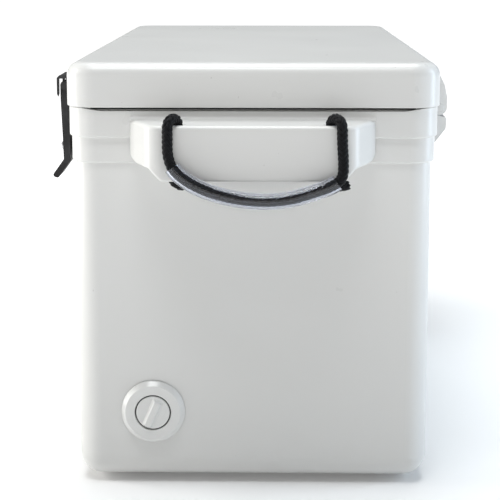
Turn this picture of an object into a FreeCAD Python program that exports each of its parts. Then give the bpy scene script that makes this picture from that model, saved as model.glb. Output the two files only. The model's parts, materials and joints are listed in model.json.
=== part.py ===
import FreeCAD, Part

import math
import os

import Sketcher

# Hard-sided cooler on two wheels. Millimetres, +Z up. The origin is on the floor, under the middle
# of the body. -Y is the end with the drain, +Y the end with the wheels, -X the side with the
# latches and +X the side with the hinges.

doc = FreeCAD.newDocument("cooler")
sheet = doc.addObject("Spreadsheet::Sheet", "sizes")

DRIVING_SIZES = {
    # lid
    "lid_length": 820, "lid_width": 440, "lid_top": 514, "lid_bottom": 462,
    "lid_corner": 34, "lid_rim_round": 16, "plug_bottom": 445, "plug_gap": 2,
    # body, from the rim down
    "skin": 4, "step_round": 2.5,
    "rim_top": 461.4, "rim_lip": 9, "rim_width": 27, "rim_corner": 25,
    "gasket_seat": 458.8, "gasket_width": 14,
    "upper_band_half_width": 218, "upper_band_half_length": 407, "upper_band_bottom": 426,
    "lower_band_half_width": 215.5, "lower_band_half_length": 403, "lower_band_bottom": 396,
    "body_half_width": 211.5, "body_half_length": 400, "body_bottom": 6, "body_round": 28,
    "finger_gap_half": 203, "finger_gap_depth": 3.6, "finger_gap_reach": 10, "finger_gap_slope": 26,
    # ice cavity
    "cavity_half_width": 165, "cavity_half_length": 355, "cavity_floor": 70,
    "cavity_round": 27, "cavity_foot_round": 5, "step_floor": 192, "step_start": 222,
    # carrying bosses at both ends
    "boss_reach": 60, "boss_base_half": 143, "boss_front_half": 117, "boss_top": 448,
    "boss_shoulder": 399, "boss_chin": 384.5, "boss_chin_half": 103, "boss_corner": 20,
    "boss_edge_round": 5, "boss_under_round": 3, "boss_shoulder_round": 14, "boss_lip": 30,
    "shelf_round": 6, "recess_half": 72, "recess_top": 438, "recess_round": 8,
    # rope handles
    "rope_diameter": 12, "rope_hole_radius": 6.5, "rope_hole_left": 84, "rope_hole_right": 89,
    "rope_hole_inset": 15, "rope_bend_radius": 11, "rope_bend_height": 443.5,
    "rope_hole_mouth": 3, "sleeve_diameter": 18.5, "sleeve_bore": 12.4,
    "knot_radius": 11.6, "knot_height": 21, "knot_pocket_radius": 12.4, "knot_pocket_depth": 11,
    # drain
    "drain_place": 120, "drain_height": 92.7, "drain_flange_radius": 38.4, "drain_face_radius": 33,
    "drain_proud": 7, "drain_well_radius": 21.7, "drain_knob_radius": 20.2,
    "drain_bore_radius": 10.8, "drain_tube_radius": 13.5, "drain_nut_radius": 17.5,
    "drain_cup_radius": 24.7, "drain_cup_depth": 9,
    "drain_bar_width": 6.6, "drain_bar_proud": 5, "drain_bar_tilt": -20, "drain_seal": 1,
    # wheels
    "wheel_radius": 80, "wheel_width": 44, "hub_radius": 62, "axle_radius": 6, "axle_inset": 74,
    "wheel_place": 180, "well_radius": 92, "well_side": 153, "bush_radius": 11,
    "tunnel_wall": 5, "washer_radius": 14, "axle_cap_radius": 13, "hub_window_radius": 9,
    "running_gap": 0.08,
    # feet
    "foot_radius": 20, "foot_place_x": 150, "foot_place_y": 330, "foot_screw_hole": 3,
    # latches
    "latch_place": 280, "latch_pin_x": 234, "latch_pin_z": 477, "latch_width": 50,
    "latch_strap_width": 40, "latch_pin_radius": 3, "latch_eye_radius": 6.5, "stud_height": 399.5,
    "latch_plate": 3.5, "keeper_plate": 3, "keeper_width": 44, "stud_neck_radius": 3.5,
    "latch_lid_screw_spacing": 26, "latch_body_screw_spacing": 36, "latch_screw_length": 18,
    # hinges
    "hinge_place": 270, "hinge_axis_x": 228, "hinge_axis_z": 452, "hinge_width": 90,
    "hinge_knuckle_radius": 9, "hinge_pin_radius": 3.5, "hinge_centre_width": 44,
    "hinge_screw_spacing": 48, "hinge_lid_seat": 10, "hinge_body_seat": 14,
    "hinge_cap_depth": 5, "hinge_lid_screw_rise": 24, "hinge_body_screw_drop": 30,
    "hinge_screw_bite": 18,
    # screws
    "screw_radius": 2.5, "screw_head_radius": 4,
    "screw_slot_reach": 2.3, "screw_slot_width": 0.9, "screw_slot_depth": 1.4,
}


class Size:
    """A length that carries both its value and the formula that ties it to the sheet."""

    def __init__(self, value, formula):
        self.value = float(value)
        self.formula = formula

    def __add__(self, other):
        other = as_size(other)
        return Size(self.value + other.value, f"({self.formula} + {other.formula})")

    def __sub__(self, other):
        other = as_size(other)
        return Size(self.value - other.value, f"({self.formula} - {other.formula})")

    def __mul__(self, other):
        other = as_size(other)
        return Size(self.value * other.value, f"({self.formula} * {other.formula})")

    def __truediv__(self, other):
        other = as_size(other)
        return Size(self.value / other.value, f"({self.formula} / {other.formula})")

    def __radd__(self, other):
        return as_size(other) + self

    def __rsub__(self, other):
        return as_size(other) - self

    def __rmul__(self, other):
        return as_size(other) * self

    def __neg__(self):
        return as_size(0) - self

    def __float__(self):
        return self.value


def as_size(number):
    if isinstance(number, Size):
        return number
    return Size(number, f"({float(number):.10g})")


class Sizes:
    """The sheet's cells by name."""


size = Sizes()
for row, (alias, number) in enumerate(DRIVING_SIZES.items(), start=1):
    sheet.set(f"A{row}", alias)
    sheet.set(f"B{row}", str(number))
    sheet.setAlias(f"B{row}", alias)
    setattr(size, alias, Size(number, f"sizes.{alias}"))
doc.recompute()

TURN_TO_AXIS = {
    "x": FreeCAD.Rotation(FreeCAD.Vector(0, 1, 0), 90),
    "y": FreeCAD.Rotation(FreeCAD.Vector(1, 0, 0), -90),
    "z": FreeCAD.Rotation(),
}
PAST = 20  # how far a cutting tool runs past what it cuts
WIDE = 300  # past either side of the cooler
SMALL_PAST = 5
SAME_PLACE = 0.01  # two places closer than this are one
nodes = []


# ---------------------------------------------------------------- drawing helpers

def bind(item, property_name, length):
    """Ties one property of an object to the sheet."""
    item.setExpression(property_name, as_size(length).formula)


def put_at(item, x, y, z):
    for letter, length in zip("xyz", (x, y, z)):
        bind(item, f"Placement.Base.{letter}", length)


def box(name, low, high):
    """A box between two corners."""
    item = doc.addObject("Part::Box", name)
    for side, start, end in zip(("Length", "Width", "Height"), low, high):
        bind(item, side, as_size(end) - start)
    put_at(item, *low)
    return item


def rod(name, axis, radius, centre, low, high):
    """A cylinder along an axis, from low to high; centre is its place across that axis."""
    item = doc.addObject("Part::Cylinder", name)
    bind(item, "Radius", radius)
    bind(item, "Height", as_size(high) - low)
    item.Placement = FreeCAD.Placement(FreeCAD.Vector(), TURN_TO_AXIS[axis])
    first, second = centre
    place = {"x": (low, first, second), "y": (first, low, second), "z": (first, second, low)}[axis]
    put_at(item, *place)
    return item


def combined(kind, name, items):
    item = doc.addObject(kind, name)
    item.Shapes = list(items)
    return item


def fused(name, *items):
    return combined("Part::MultiFuse", name, items)


def shared(name, *items):
    return combined("Part::MultiCommon", name, items)


def group(name, *items):
    """Separate solids kept together in one node."""
    item = doc.addObject("Part::Compound", name)
    item.Links = list(items)
    return item


def cut(name, base, *tools):
    item = doc.addObject("Part::Cut", name)
    item.Base = base
    item.Tool = tools[0] if len(tools) == 1 else fused(name + "_tools", *tools)
    return item


def direction_of(edge):
    """The unit direction of a straight edge, or none for a curved one."""
    if not isinstance(edge.Curve, Part.Line):
        return None
    return (edge.Vertexes[-1].Point - edge.Vertexes[0].Point).normalize()


def runs_along(edge, axis):
    direction = direction_of(edge)
    return direction is not None and abs(getattr(direction, axis)) > 0.999


def rounded(name, base, *rounds):
    """Fillets the edges that each (radius, choose) pair picks."""
    doc.recompute()
    item = doc.addObject("Part::Fillet", name)
    item.Base = base
    picked = []
    for number, edge in enumerate(base.Shape.Edges, start=1):
        for radius, choose in rounds:
            if choose(edge):
                picked.append((number, float(radius), float(radius)))
                break
    item.Edges = picked
    return item


def outline_sketch(body, name, plane, offset, points):
    """A closed outline of straight lines, each corner tied to the sheet."""
    sketch = body.newObject("Sketcher::SketchObject", name)
    support = next(item for item in body.Origin.OriginFeatures if item.Role == plane)
    sketch.AttachmentSupport = [(support, "")]
    sketch.MapMode = "FlatFace"
    for letter, length in zip("xyz", offset):
        bind(sketch, f"AttachmentOffset.Base.{letter}", length)
    corners = [(as_size(across), as_size(up)) for across, up in points]
    vectors = [FreeCAD.Vector(float(across), float(up), 0) for across, up in corners]
    count = len(vectors)
    for index in range(count):
        sketch.addGeometry(Part.LineSegment(vectors[index], vectors[(index + 1) % count]))
    for index in range(count):
        sketch.addConstraint(Sketcher.Constraint("Coincident", index, 2, (index + 1) % count, 1))
    for index, (across, up) in enumerate(corners):
        for kind, length in (("DistanceX", across), ("DistanceY", up)):
            number = sketch.addConstraint(
                Sketcher.Constraint(kind, -1, 1, index, 1, float(length)))
            sketch.setExpression(f"Constraints[{number}]", length.formula)
    return sketch


def prism(name, axis, outline, low, high, rounds=None):
    """An outline padded along an axis. rounds gives a radius to some of its corners by number."""
    body = doc.addObject("PartDesign::Body", name)
    low = as_size(low)
    high = as_size(high)
    plane = {"x": "YZ_Plane", "y": "XZ_Plane", "z": "XY_Plane"}[axis]
    start = -high if axis == "y" else low
    sketch = outline_sketch(body, name + "_outline", plane, (0, 0, start), outline)
    pad = body.newObject("PartDesign::Pad", name + "_pad")
    pad.Profile = sketch
    bind(pad, "Length", high - low)
    body.Tip = pad
    for number, (radius, corners) in enumerate(sorted((rounds or {}).items())):
        doc.recompute()
        base = body.Tip
        wanted = [outline[corner] for corner in corners]
        fillet = body.newObject("PartDesign::Fillet", f"{name}_round_{number}")
        fillet.Base = (base, corner_edges(base.Shape, axis, wanted))
        fillet.Radius = radius
        body.Tip = fillet
    return body


def corner_edges(shape, axis, points):
    """Names of the straight edges along an axis that pass through points of the outline."""
    others = [letter for letter in "xyz" if letter != axis]
    names = []
    for number, edge in enumerate(shape.Edges, start=1):
        if not runs_along(edge, axis):
            continue
        place = edge.Vertexes[0].Point
        for across, up in points:
            offset = math.hypot(getattr(place, others[0]) - float(across),
                                getattr(place, others[1]) - float(up))
            if offset < SAME_PLACE:
                names.append(f"Edge{number}")
    return names


def turned(name, axis, centre, outline):
    """An outline of (radius, place along the axis) points revolved round an axis."""
    body = doc.addObject("PartDesign::Body", name)
    first, second = centre
    if axis == "x":
        plane, offset, points = "XY_Plane", (0, first, second), [(a, r) for r, a in outline]
    elif axis == "y":
        plane, offset, points = "XY_Plane", (first, 0, second), outline
    else:
        plane, offset, points = "XZ_Plane", (first, 0, -as_size(second)), outline
    sketch = outline_sketch(body, name + "_outline", plane, offset, points)
    revolution = body.newObject("PartDesign::Revolution", name + "_turn")
    revolution.Profile = sketch
    revolution.ReferenceAxis = (sketch, ["H_Axis" if axis == "x" else "V_Axis"])
    revolution.Angle = 360
    body.Tip = revolution
    return body


def block(name, half_x, half_y, low, high, corner, foot_round=0, top_round=0):
    """A box centred on the origin with rounded upright edges, and rounded foot or top edges."""
    raw = box(name + "_box", (-half_x, -half_y, low), (half_x, half_y, high))
    floor = float(as_size(low))
    roof = float(as_size(high))
    rounds = [(corner, lambda edge: runs_along(edge, "z"))]
    if float(foot_round):
        rounds.append((foot_round, lambda edge: edge.BoundBox.ZMax < floor + SAME_PLACE))
    if float(top_round):
        rounds.append((top_round, lambda edge: edge.BoundBox.ZMin > roof - SAME_PLACE))
    return rounded(name, raw, *rounds)


def keep(item, label):
    """Names a finished sub-part."""
    item.Label = label
    nodes.append(item)
    return item


# ---------------------------------------------------------------- body

axle_y = size.body_half_length - size.axle_inset
axle_z = size.wheel_radius


def boss_outline_from_above(sign):
    """Plan of a carrying boss, which widens towards the body."""
    front = sign * (size.upper_band_half_length + size.boss_reach)
    wall = sign * size.upper_band_half_length
    back = sign * (size.upper_band_half_length - size.skin)
    return [(-size.boss_base_half, back), (-size.boss_base_half, wall),
            (-size.boss_front_half, front), (size.boss_front_half, front),
            (size.boss_base_half, wall), (size.boss_base_half, back)]


def boss_outline_from_the_end():
    """End view of a carrying boss: a flat top, square shoulders and a sloped chin."""
    slope = size.boss_shoulder - size.boss_chin
    side = size.boss_base_half + 1
    return [(-side, size.boss_top), (side, size.boss_top), (side, size.boss_shoulder),
            (size.boss_chin_half + slope, size.boss_shoulder),
            (size.boss_chin_half, size.boss_chin), (-size.boss_chin_half, size.boss_chin),
            (-size.boss_chin_half - slope, size.boss_shoulder),
            (-side, size.boss_shoulder)]


def make_boss(name, sign):
    """One carrying boss: a solid block with the finger recess open underneath."""
    front = sign * (size.upper_band_half_length + size.boss_reach)
    back = sign * (size.upper_band_half_length - size.skin)
    low = front if sign < 0 else back
    high = back if sign < 0 else front
    plan = prism(name + "_plan", "z", boss_outline_from_above(sign),
                 size.boss_chin - SMALL_PAST, size.boss_top + SMALL_PAST,
                 {float(size.boss_corner): [2, 3]})
    view = prism(name + "_view", "y", boss_outline_from_the_end(),
                 low - SMALL_PAST, high + SMALL_PAST,
                 {float(size.boss_edge_round): [3, 4, 5, 6],
                  float(size.boss_shoulder_round): [2, 7]})
    raw = shared(name + "_raw", plan, view)
    doc.recompute()
    front_place = abs(float(front))
    top = float(size.boss_top)

    def on_top_front(edge):
        """The top edge, all but its run along the body."""
        bounds = edge.BoundBox
        flat = bounds.ZMin > top - SAME_PLACE and bounds.ZMax < top + SAME_PLACE
        return flat and max(abs(bounds.YMin), abs(bounds.YMax)) > abs(float(back)) + 1

    def under_front(edge):
        """The lower edge of the front face."""
        bounds = edge.BoundBox
        return bounds.ZMax < top - 10 and min(abs(bounds.YMin), abs(bounds.YMax)) > front_place - 0.5

    return rounded(name, raw, (size.boss_edge_round, on_top_front),
                   (size.boss_under_round, under_front))


def shelf_fillet(name, sign):
    """The hollow round where a boss's flat top runs into the band behind it."""
    wall = size.upper_band_half_length
    reach = size.shelf_round
    low, high = sorted((sign * (wall - 3), sign * (wall + reach)), key=float)
    corner = box(name + "_corner", (-size.boss_base_half, low, size.boss_top - 1),
                 (size.boss_base_half, high, size.boss_top + reach))
    hollow = rod(name + "_hollow", "x", reach, (sign * (wall + reach), size.boss_top + reach),
                 -size.boss_base_half - SMALL_PAST, size.boss_base_half + SMALL_PAST)
    return cut(name, corner, hollow)


def boss_cuts(name, sign):
    """The finger recess behind the lip, and through the lip two rope holes with knot pockets."""
    front = size.upper_band_half_length + size.boss_reach
    wall = size.upper_band_half_length
    near, far = sorted((sign * wall, sign * (front - size.boss_lip)), key=float)
    recess = box(name + "_recess", (-size.recess_half, near, size.boss_chin - PAST),
                 (size.recess_half, far, size.recess_top))
    roof = float(size.recess_top)
    softened = rounded(name + "_recess_soft", recess,
                       (size.recess_round, lambda edge: edge.BoundBox.ZMin > roof - SAME_PLACE))
    hole_y = sign * (front - size.rope_hole_inset)
    cuts = [softened]
    for word, hole_x in (("left", sign * size.rope_hole_left), ("right", -sign * size.rope_hole_right)):
        centre = (hole_x, hole_y)
        cuts.append(rod(f"{name}_{word}_hole", "z", size.rope_hole_radius, centre,
                        size.boss_chin - PAST, size.boss_top + PAST))
        cuts.append(hole_mouth(f"{name}_{word}_mouth", hole_x, hole_y))
        cuts.append(rod(f"{name}_{word}_pocket", "z", size.knot_pocket_radius, centre,
                        size.boss_chin - PAST, size.boss_chin + size.knot_pocket_depth))
    return cuts


def hole_mouth(name, x, y):
    """The flare that eases the rope out of the top of its hole."""
    cone = doc.addObject("Part::Cone", name)
    bind(cone, "Radius1", size.rope_hole_radius)
    bind(cone, "Radius2", size.rope_hole_radius + size.rope_hole_mouth)
    bind(cone, "Height", size.rope_hole_mouth + SAME_PLACE)
    put_at(cone, x, y, size.boss_top - size.rope_hole_mouth)
    return cone


def wheel_well(name, side, extra):
    """The open corner round one wheel; extra makes it larger, for the skin round it."""
    inner = size.well_side - extra
    outer = size.body_half_width + PAST
    low_x, high_x = sorted((side * inner, side * outer), key=float)
    radius = size.well_radius + extra
    arch = rod(f"{name}_arch", "x", radius, (axle_y, axle_z), low_x, high_x)
    below = box(f"{name}_below", (low_x, axle_y - radius, -PAST),
                (high_x, size.body_half_length + PAST, axle_z))
    behind = box(f"{name}_behind", (low_x, axle_y, -PAST),
                 (high_x, size.body_half_length + PAST, axle_z + radius))
    return fused(name, arch, below, behind)


def far_corner_cut(name, inset):
    """What is taken off the body's lower far edge, so that it clears the floor when tilted."""
    radius = size.axle_inset - inset
    corner = box(name + "_corner", (-WIDE, axle_y, -PAST), (WIDE, size.body_half_length + PAST, axle_z))
    keep_round = rod(name + "_round", "x", radius, (axle_y, axle_z), -WIDE - PAST, WIDE + PAST)
    return cut(name, corner, keep_round)


def drain_hole(name):
    """The hole through the end wall: wide where the flange's cup sits, then narrow for its tube."""
    centre = (-size.drain_place, size.drain_height)
    wall = -size.body_half_length
    cup = rod(name + "_cup", "y", size.drain_cup_radius, centre, wall - PAST,
              wall + size.drain_cup_depth)
    tube = rod(name + "_tube", "y", size.drain_tube_radius, centre, wall - PAST,
               -size.cavity_half_length + PAST)
    return fused(name, cup, tube)


def make_outer_shell():
    """The outer skin with its two stepped bands, rim, bosses, wheel wells and axle tunnel."""
    lower = block("body_block", size.body_half_width, size.body_half_length, size.body_bottom,
                  size.lower_band_bottom + 5, size.body_round, size.body_round)
    lower_band = block("lower_band", size.lower_band_half_width, size.lower_band_half_length,
                       size.lower_band_bottom, size.upper_band_bottom + 5, size.body_round + 3,
                       size.step_round)
    upper_band = block("upper_band", size.upper_band_half_width, size.upper_band_half_length,
                       size.upper_band_bottom, size.rim_top, size.lid_corner,
                       size.step_round, 1)
    bosses = [make_boss("near_boss", -1), make_boss("far_boss", 1),
              shelf_fillet("near_shelf", -1), shelf_fillet("far_shelf", 1)]
    solid = fused("body_solid", lower, lower_band, upper_band, *bosses)
    skin = size.skin
    hollow = fused(
        "body_hollow",
        block("hollow_lower", size.body_half_width - skin, size.body_half_length - skin,
              size.body_bottom + skin, size.lower_band_bottom + 10, size.body_round - skin,
              size.body_round - skin),
        block("hollow_upper", size.lower_band_half_width - skin, size.lower_band_half_length - skin,
              size.lower_band_bottom + skin, size.gasket_seat - skin, size.body_round - 1))
    wells = [wheel_well(f"well_{side}", side, as_size(0)) for side in (-1, 1)]
    well_skins = [wheel_well(f"well_skin_{side}", side, size.skin) for side in (-1, 1)]
    room = cut("foam_room", hollow, far_corner_cut("far_corner_inner", skin), *well_skins)
    mouth = block("rim_mouth", size.upper_band_half_width - size.rim_width,
                  size.upper_band_half_length - size.rim_width,
                  size.gasket_seat - 10, size.rim_top + 10, size.rim_corner)
    seat = block("gasket_seat_cut", size.upper_band_half_width - size.rim_lip,
                 size.upper_band_half_length - size.rim_lip, size.gasket_seat, size.rim_top + 10, 26)
    skin_only = cut("skin_only", solid, room, mouth, seat, *wells,
                    far_corner_cut("far_corner_outer", as_size(0)),
                    *boss_cuts("near_boss_cut", -1), *boss_cuts("far_boss_cut", 1),
                    *finger_gaps(), drain_hole("drain_hole_outer"), *foot_screw_holes("outer"))
    tunnel = rod("axle_tunnel", "x", size.axle_radius + size.tunnel_wall, (axle_y, axle_z),
                 -size.well_side, size.well_side)
    tunnel_bore = rod("axle_tunnel_bore", "x", size.axle_radius + size.running_gap,
                      (axle_y, axle_z), -size.well_side - 10, size.well_side + 10)
    shell = cut("outer_shell_shape", fused("shell_and_tunnel", skin_only, tunnel), tunnel_bore)
    return keep(shell, "outer_shell")


GAP_END_RADIUS = 40.0


def finger_gaps():
    """A long shallow gap in the top of each end rim, to get fingers under the lid."""
    half = size.finger_gap_half
    floor_half = half - size.finger_gap_slope
    floor = size.rim_top - size.finger_gap_depth
    reach = size.upper_band_half_length
    above = size.rim_top + 10
    outline = [(-half, above), (-half, size.rim_top), (-floor_half, floor), (floor_half, floor),
               (half, size.rim_top), (half, above)]
    gaps = []
    for word, low, high in (("near", -reach - 5, -reach + size.finger_gap_reach),
                            ("far", reach - size.finger_gap_reach, reach + 5)):
        gaps.append(prism(f"finger_gap_{word}", "y", outline, low, high, {GAP_END_RADIUS: [2, 3]}))
    return gaps


STEP_EDGE_ROUND = 12


def cavity_space(name, grow, top):
    """The ice cavity, with its floor raised over the wheels; grow adds the liner's skin."""
    half_x = size.cavity_half_width + grow
    half_y = size.cavity_half_length + grow
    corner = size.cavity_round + grow
    whole = block(name + "_whole", half_x, half_y, size.cavity_floor - grow, top, corner,
                  size.cavity_foot_round + grow)
    step = box(name + "_step", (-WIDE, size.step_start + grow, 0),
               (WIDE, size.body_half_length + PAST, size.step_floor - grow))
    edge_of_step = float(size.step_start + grow)
    step_soft = rounded(name + "_step_soft", step,
                        (STEP_EDGE_ROUND, lambda edge: runs_along(edge, "x")
                         and edge.BoundBox.ZMin > 1 and edge.BoundBox.YMax < edge_of_step + 1))
    return cut(name, whole, step_soft)


def make_inner_liner():
    """The tub that holds the ice, with a flange that meets the rim of the outer skin."""
    outside = cavity_space("liner_outside", size.skin, size.gasket_seat)
    inside = cavity_space("liner_inside", as_size(0), size.gasket_seat + 10)
    flange = block("liner_flange", size.upper_band_half_width - size.rim_width,
                   size.upper_band_half_length - size.rim_width, size.gasket_seat - size.skin,
                   size.gasket_seat, size.rim_corner)
    liner = cut("inner_liner_shape", fused("liner_solid", outside, flange), inside,
                drain_hole("drain_hole_liner"))
    return keep(liner, "inner_liner")


def make_body_foam():
    """Poured insulation that fills the space between the outer skin and the liner."""
    liner_room = fused("foam_liner_room", cavity_space("foam_inside", size.skin, size.rim_top),
                       block("foam_flange_room", size.upper_band_half_width - size.rim_width,
                             size.upper_band_half_length - size.rim_width,
                             size.gasket_seat - size.skin, size.rim_top, size.rim_corner))
    tunnel_room = rod("foam_tunnel_room", "x", size.axle_radius + size.tunnel_wall, (axle_y, axle_z),
                      -WIDE, WIDE)
    foam = cut("body_foam_shape", doc.getObject("foam_room"), liner_room, tunnel_room,
               drain_hole("drain_hole_foam"), *foot_screw_holes("foam"))
    return keep(foam, "body_foam")


def foot_screw_holes(layer):
    return [rod(f"foot_screw_hole_{layer}_{side}", "z", size.foot_screw_hole,
                (side * size.foot_place_x, -size.foot_place_y), 0, 26) for side in (-1, 1)]


# ---------------------------------------------------------------- lid

def make_lid():
    """Outer skin, inner panel with its plug, the foam between them and the gasket."""
    half_x = size.lid_width / 2
    half_y = size.lid_length / 2
    skin = size.skin
    corner = size.lid_corner
    outside = block("lid_outside", half_x, half_y, size.lid_bottom, size.lid_top, corner,
                    1.5, size.lid_rim_round)
    inside = block("lid_inside", half_x - skin, half_y - skin, size.lid_bottom - 10,
                   size.lid_top - skin, corner - skin, 0, size.lid_rim_round - skin)
    keep(cut("lid_shell_shape", outside, inside), "lid_shell")

    plug_x = size.cavity_half_width - size.plug_gap
    plug_y = size.cavity_half_length - size.plug_gap
    plug_corner = size.cavity_round - size.plug_gap
    panel = block("lid_panel", half_x - skin, half_y - skin, size.lid_bottom,
                  size.lid_bottom + skin, corner - skin)
    plug = block("lid_plug", plug_x, plug_y, size.plug_bottom, size.lid_bottom + 1, plug_corner, 6)
    plug_room = block("lid_plug_room", plug_x - skin, plug_y - skin, size.plug_bottom + skin,
                      size.lid_bottom + 10, plug_corner - skin, 3)
    keep(cut("lid_liner_shape", fused("lid_liner_solid", panel, plug), plug_room), "lid_liner")

    upper = block("lid_foam_upper", half_x - skin, half_y - skin, size.lid_bottom + skin,
                  size.lid_top - skin, corner - skin, 0, size.lid_rim_round - skin)
    lower = block("lid_foam_lower", plug_x - skin, plug_y - skin, size.plug_bottom + skin,
                  size.lid_bottom + skin + 1, plug_corner - skin, 3)
    keep(fused("lid_foam_shape", upper, lower), "lid_foam")

    gasket_x = size.upper_band_half_width - size.rim_lip - 3
    gasket_y = size.upper_band_half_length - size.rim_lip - 3
    gasket_outside = block("gasket_outside", gasket_x, gasket_y, size.gasket_seat + 0.3,
                           size.lid_bottom, 23)
    gasket_inside = block("gasket_inside", gasket_x - size.gasket_width,
                          gasket_y - size.gasket_width, size.gasket_seat - 5,
                          size.lid_bottom + 5, 12)
    keep(cut("lid_gasket_shape", gasket_outside, gasket_inside), "lid_gasket")


# ---------------------------------------------------------------- feet

def make_feet():
    """Two rubber feet at the drain end, each held up by one countersunk screw."""
    screws = []
    for side, word in ((-1, "left"), (1, "right")):
        x = side * size.foot_place_x
        y = -size.foot_place_y
        foot = turned(f"foot_{word}_shape", "z", (x, y),
                      [(3, 5.5), (5, 2), (5, 0), (size.foot_radius - 2, 0), (size.foot_radius, 2),
                       (size.foot_radius - 1, size.body_bottom), (3, size.body_bottom)])
        keep(foot, f"foot_{word}")
        screws.append(turned(f"foot_screw_{word}", "z", (x, y),
                             [(0, 2), (4.6, 2), (2.9, 5.2), (2.9, 24), (1.5, 26), (0, 26)]))
    keep(group("foot_screws_shape", *screws), "foot_screws")


# ---------------------------------------------------------------- drain

NUT_NOTCHES = 6


def make_drain():
    """Flange with its tube through the wall, seal, inside nut, and the screw plug with a bar."""
    centre = (-size.drain_place, size.drain_height)
    wall = -size.body_half_length
    face = wall - size.drain_proud
    inside = -size.cavity_half_length
    seal = wall - size.drain_seal
    flange = turned("drain_flange_shape", "y", centre, [
        (size.drain_bore_radius, inside + 9), (size.drain_bore_radius, wall + 6),
        (size.drain_well_radius, wall + 6), (size.drain_well_radius, face + 0.8),
        (size.drain_well_radius + 0.8, face), (size.drain_face_radius, face),
        (size.drain_flange_radius - 1, seal - 1.5), (size.drain_flange_radius, seal - 0.2),
        (size.drain_flange_radius, seal), (size.drain_cup_radius, seal),
        (size.drain_cup_radius, wall + size.drain_cup_depth),
        (size.drain_tube_radius, wall + size.drain_cup_depth),
        (size.drain_tube_radius, inside + 9)])
    keep(flange, "drain_flange")
    gasket = turned("drain_gasket_shape", "y", centre, [
        (size.drain_cup_radius, seal), (size.drain_flange_radius - 0.6, seal),
        (size.drain_flange_radius - 0.6, wall), (size.drain_cup_radius, wall)])
    keep(gasket, "drain_gasket")
    ring = rod("drain_nut_ring", "y", size.drain_nut_radius, centre, inside, inside + 7)
    bore = rod("drain_nut_bore", "y", size.drain_tube_radius, centre, inside - 1, inside + 8)
    notches = []
    for step in range(NUT_NOTCHES):
        angle = 2 * math.pi * step / NUT_NOTCHES
        x = centre[0] + size.drain_nut_radius * math.cos(angle)
        z = centre[1] + size.drain_nut_radius * math.sin(angle)
        notches.append(rod(f"drain_nut_notch_{step}", "y", 2, (x, z), inside - 1, inside + 8))
    keep(cut("drain_nut_shape", ring, bore, *notches), "drain_nut")
    make_drain_plug(centre, wall, face)


def make_drain_plug(centre, wall, face):
    """The plug that the hand turns, and the sealing washer that it carries out with it."""
    gap = size.running_gap
    neck = size.drain_bore_radius - 2.6
    knob = turned("drain_plug_knob", "y", centre, [
        (0, face), (size.drain_knob_radius - 1.2, face), (size.drain_knob_radius, face + 1.2),
        (size.drain_knob_radius, wall + 4.2), (neck, wall + 4.2), (neck, wall + 6.6),
        (size.drain_bore_radius - gap, wall + 6.6), (size.drain_bore_radius - gap, wall + 30),
        (size.drain_bore_radius - 3, wall + 33), (0, wall + 33)])
    half = size.drain_bar_width / 2
    bar = box("drain_plug_bar", (-half, face - size.drain_bar_proud, -size.drain_knob_radius + 0.6),
              (half, face + 1, size.drain_knob_radius - 0.6))
    soft = rounded("drain_plug_bar_soft", bar,
                   (2.6, lambda edge: runs_along(edge, "y")),
                   (1.8, lambda edge: edge.BoundBox.YMax < float(face) - 4))
    soft.Placement = FreeCAD.Placement(
        FreeCAD.Vector(float(centre[0]), 0, float(centre[1])),
        FreeCAD.Rotation(FreeCAD.Vector(0, 1, 0), -float(size.drain_bar_tilt)))
    keep(fused("drain_plug_shape", knob, soft), "drain_plug")
    washer = turned("drain_washer_shape", "y", centre, [
        (neck + 0.3, wall + 4.5), (size.drain_knob_radius - 1, wall + 4.5),
        (size.drain_knob_radius - 1, wall + 5.7), (neck + 0.3, wall + 5.7)])
    keep(washer, "drain_washer")


# ---------------------------------------------------------------- wheels

HUB_WINDOWS = 6
TREAD_GROOVES = 24


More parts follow.
